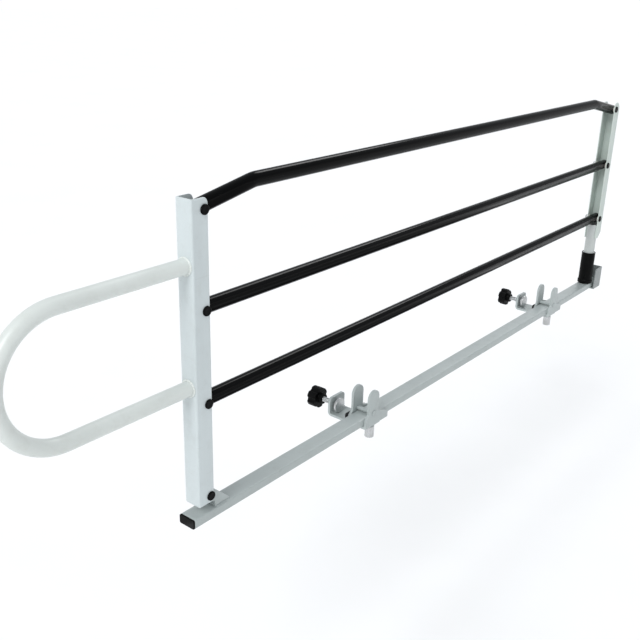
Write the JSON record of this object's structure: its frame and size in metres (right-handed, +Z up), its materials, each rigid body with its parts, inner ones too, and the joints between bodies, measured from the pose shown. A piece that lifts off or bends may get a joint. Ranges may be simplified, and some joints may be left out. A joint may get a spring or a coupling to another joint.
{
  "type": "folding bed side rail with grab handle",
  "caption": "Folding bed side rail: channel posts, black bars and a grab handle loop fold down on a base rail that clamps beside a bed frame.",
  "frame": {"origin": "centre of the rubber face with which the near clamp rests against the bed frame", "axes": "+X along the bed from the handle end, +Y into the bed, +Z up"},
  "size_m": [1.7665, 0.1425, 0.5386],
  "materials": {
    "light_powder_coat": "satin powder coat",
    "grey_powder_coat": "satin powder coat",
    "light_tube": "satin powder coat",
    "gloss_black": "gloss black coat",
    "black_plastic": "satin moulded",
    "nylon": "natural",
    "rubber": "matt",
    "zinc": "zinc plated",
    "brass_pad": "machined",
    "spring_steel": "oiled"
  },
  "bodies": {
    "near_clamp": {"near_saddle": "grey_powder_coat", "near_jaw_arm": "grey_powder_coat", "near_keeper_pin": "grey_powder_coat", "near_rubber_pad": "rubber"},
    "base": {"base_rail": "grey_powder_coat", "base_end_cap": "black_plastic", "near_hinge_bracket": "grey_powder_coat", "far_hinge_tongue": "grey_powder_coat", "far_end_bracket": "grey_powder_coat"},
    "near_post": {"near_post": "light_powder_coat", "grab_handle": "light_powder_coat", "near_post_bolts": "zinc", "near_bolt_caps": "black_plastic", "near_lock_nuts": "zinc", "near_washers": "nylon"},
    "top_bar": {"top_bar": "gloss_black", "top_bar_inserts": "black_plastic"},
    "middle_bar": {"middle_bar": "gloss_black", "middle_bar_inserts": "black_plastic"},
    "lower_bar": {"lower_bar": "gloss_black", "lower_bar_inserts": "black_plastic"},
    "far_post": {"far_post": "light_powder_coat", "far_post_tube": "light_tube", "far_post_bolts": "zinc", "far_bolt_caps": "black_plastic", "far_lock_nuts": "zinc", "far_washers": "nylon", "far_pivot_pin": "zinc", "spring_collar": "zinc", "lock_spring": "spring_steel"},
    "lock_sleeve": {"lock_sleeve": "black_plastic"},
    "far_clamp": {"far_saddle": "grey_powder_coat", "far_jaw_arm": "grey_powder_coat", "far_keeper_pin": "grey_powder_coat", "far_rubber_pad": "rubber"},
    "near_jaw_pad": {"near_jaw_pad": "zinc"},
    "near_jaw_screw": {"near_jaw_screw": "zinc", "near_jaw_knob": "black_plastic"},
    "near_lock_pad": {"near_lock_pad": "brass_pad"},
    "near_lock_screw": {"near_lock_screw": "zinc", "near_lock_knob": "zinc"},
    "far_jaw_pad": {"far_jaw_pad": "zinc"},
    "far_jaw_screw": {"far_jaw_screw": "zinc", "far_jaw_knob": "black_plastic"},
    "far_lock_pad": {"far_lock_pad": "brass_pad"},
    "far_lock_screw": {"far_lock_screw": "zinc", "far_lock_knob": "zinc"}
  },
  "joints": [
    {"name": "rail_slide", "type": "slide", "parent": "near_clamp", "child": "base", "axis": [1, 0, 0], "range_m": [-0.06, 0.06]},
    {"name": "far_clamp_hold", "type": "slide", "parent": "base", "child": "far_clamp", "axis": [1, 0, 0], "range_m": [-0.0601, 0.0601]},
    {"name": "rail_fold", "type": "hinge", "parent": "base", "child": "near_post", "pos_m": [-0.401, -0.0222, 0.034], "axis": [0, -1, 0], "range_deg": [0, 78]},
    {"name": "far_post_fold", "type": "hinge", "parent": "base", "child": "far_post", "pos_m": [0.991, -0.0222, 0.034], "axis": [0, -1, 0], "range_deg": [0, 78.1]},
    {"name": "top_bar_turn", "type": "hinge", "parent": "near_post", "child": "top_bar", "pos_m": [-0.401, -0.0222, 0.459], "axis": [0, -1, 0], "range_deg": [-78.1, 0]},
    {"name": "middle_bar_turn", "type": "hinge", "parent": "near_post", "child": "middle_bar", "pos_m": [-0.401, -0.0222, 0.321], "axis": [0, -1, 0], "range_deg": [-78.1, 0]},
    {"name": "lower_bar_turn", "type": "hinge", "parent": "near_post", "child": "lower_bar", "pos_m": [-0.401, -0.0222, 0.183], "axis": [0, -1, 0], "range_deg": [-78.1, 0]},
    {"name": "sleeve_lift", "type": "slide", "parent": "far_post", "child": "lock_sleeve", "axis": [0, 0, 1], "range_m": [0, 0.0301], "deforming": ["lock_spring"]},
    {"name": "near_jaw_close", "type": "slide", "parent": "near_clamp", "child": "near_jaw_pad", "axis": [0, -1, 0], "range_m": [0, 0.015]},
    {"name": "near_jaw_turn", "type": "hinge", "parent": "near_jaw_pad", "child": "near_jaw_screw", "pos_m": [0, 0.06, 0.002], "axis": [0, -1, 0], "range_deg": [0, 3604]},
    {"name": "near_lock_release", "type": "slide", "parent": "near_clamp", "child": "near_lock_pad", "axis": [0, 0, -1], "range_m": [0, 0.00187]},
    {"name": "near_lock_turn", "type": "hinge", "parent": "near_lock_pad", "child": "near_lock_screw", "pos_m": [0.018, -0.0222, -0.02], "axis": [0, 0, -1], "range_deg": [0, 544]},
    {"name": "far_jaw_close", "type": "slide", "parent": "far_clamp", "child": "far_jaw_pad", "axis": [0, -1, 0], "range_m": [0, 0.015]},
    {"name": "far_jaw_turn", "type": "hinge", "parent": "far_jaw_pad", "child": "far_jaw_screw", "pos_m": [0.755, 0.06, 0.002], "axis": [0, -1, 0], "range_deg": [0, 3604]},
    {"name": "far_lock_release", "type": "slide", "parent": "far_clamp", "child": "far_lock_pad", "axis": [0, 0, -1], "range_m": [0, 0.00187]},
    {"name": "far_lock_turn", "type": "hinge", "parent": "far_lock_pad", "child": "far_lock_screw", "pos_m": [0.773, -0.0222, -0.02], "axis": [0, 0, -1], "range_deg": [0, 544]}
  ],
  "couplings": [
    {"joint": "far_clamp_hold", "follows": "rail_slide", "ratio": -1},
    {"joint": "far_post_fold", "follows": "rail_fold", "ratio": 1},
    {"joint": "top_bar_turn", "follows": "rail_fold", "ratio": -1},
    {"joint": "middle_bar_turn", "follows": "rail_fold", "ratio": -1},
    {"joint": "lower_bar_turn", "follows": "rail_fold", "ratio": -1},
    {"joint": "sleeve_lift", "follows": "rail_fold", "m_per_rad": 0.022037},
    {"joint": "near_jaw_turn", "follows": "near_jaw_close", "rad_per_m": 4188.8},
    {"joint": "near_lock_turn", "follows": "near_lock_release", "rad_per_m": 5026.5},
    {"joint": "far_jaw_turn", "follows": "far_jaw_close", "rad_per_m": 4188.8},
    {"joint": "far_lock_turn", "follows": "far_lock_release", "rad_per_m": 5026.5}
  ]
}
